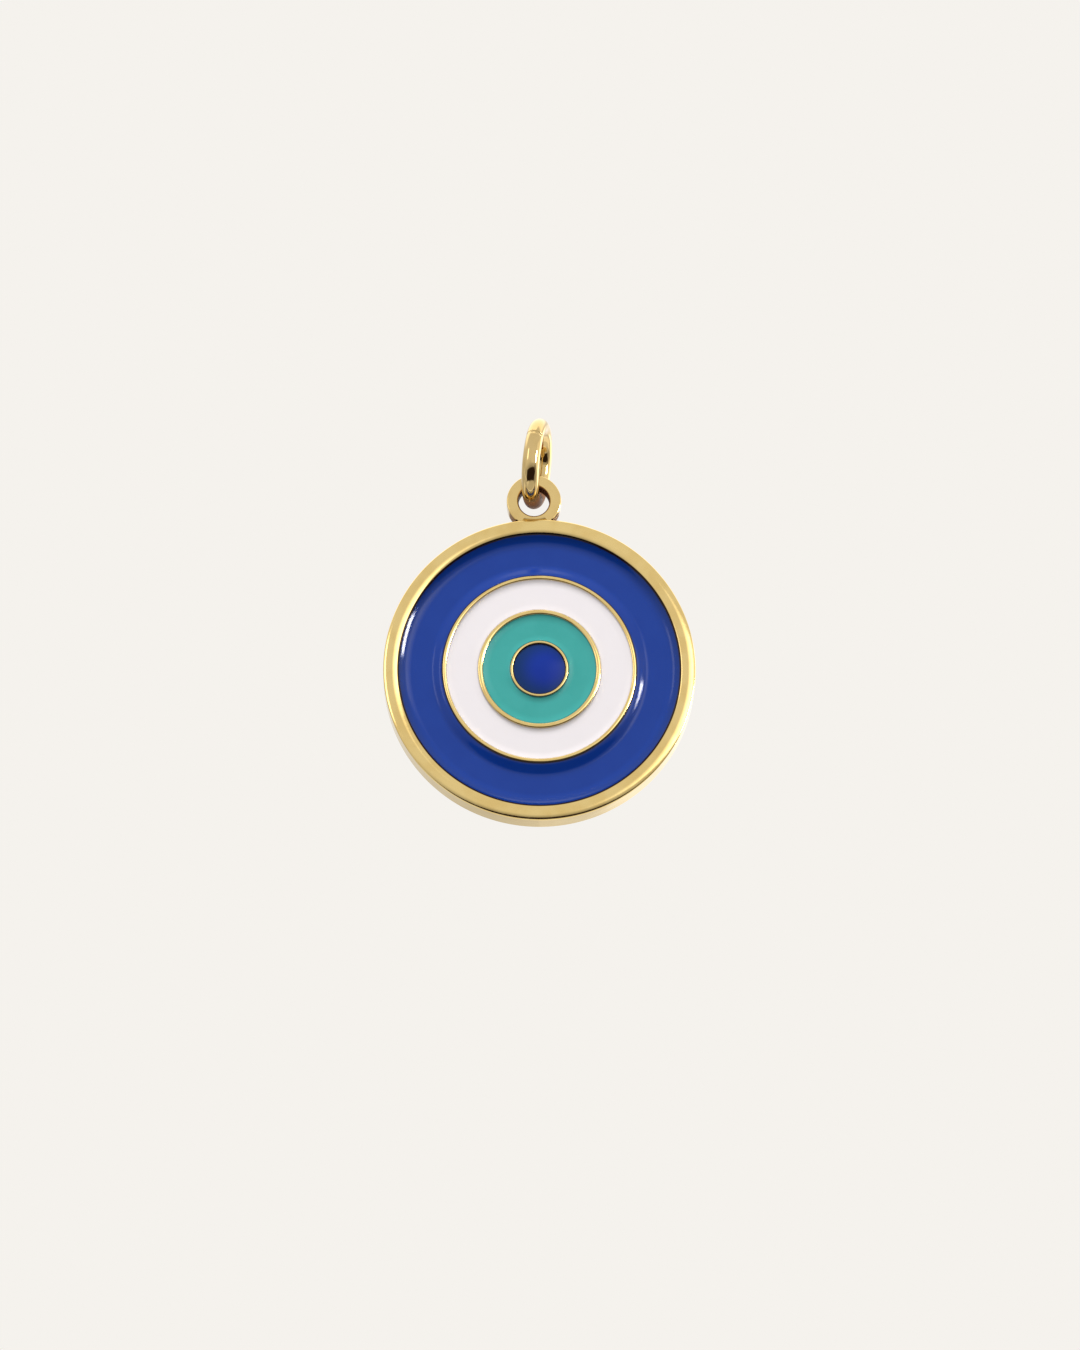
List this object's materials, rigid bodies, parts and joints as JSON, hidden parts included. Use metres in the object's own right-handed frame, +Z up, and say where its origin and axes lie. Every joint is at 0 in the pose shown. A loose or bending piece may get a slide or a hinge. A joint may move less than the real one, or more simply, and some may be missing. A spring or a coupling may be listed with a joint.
{
  "type": "evil eye ornament",
  "caption": "Round hanging charm with a framed metal disc, concentric enamel eye rings, a top eyelet and a wire jump ring.",
  "frame": {"origin": "centre of the jump ring, where a chain or cord passes", "axes": "+Z up as the charm hangs, the enamel face looks along -Y and the flat back along +Y, +X to the viewer's right seen from the front"},
  "size_m": [0.018, 0.0052, 0.0242],
  "materials": {
    "plated_metal": "pale gold plate, polished",
    "plated_wire": "pale gold plate, polished wire",
    "blue_enamel": "opaque glossy enamel",
    "white_enamel": "opaque glossy enamel",
    "turquoise_enamel": "opaque glossy enamel",
    "pupil_enamel": "opaque glossy enamel, domed"
  },
  "bodies": {
    "ring": {"jump_ring": "plated_wire", "ring_solder": "plated_wire"},
    "pendant": {"back_plate": "plated_metal", "rim_band": "plated_metal", "outer_cloison": "plated_metal", "middle_cloison": "plated_metal", "inner_cloison": "plated_metal", "blue_enamel": "blue_enamel", "white_enamel": "white_enamel", "turquoise_enamel": "turquoise_enamel", "pupil_enamel": "pupil_enamel", "hanging_loop": "plated_metal", "loop_solder": "plated_metal"}
  },
  "joints": [
    {"name": "pendant_swing", "type": "hinge", "parent": "ring", "child": "pendant", "pos_m": [-0.00024, 0.0002, -0.00056], "axis": [1, 0, 0], "range_deg": [-60, 60]}
  ]
}
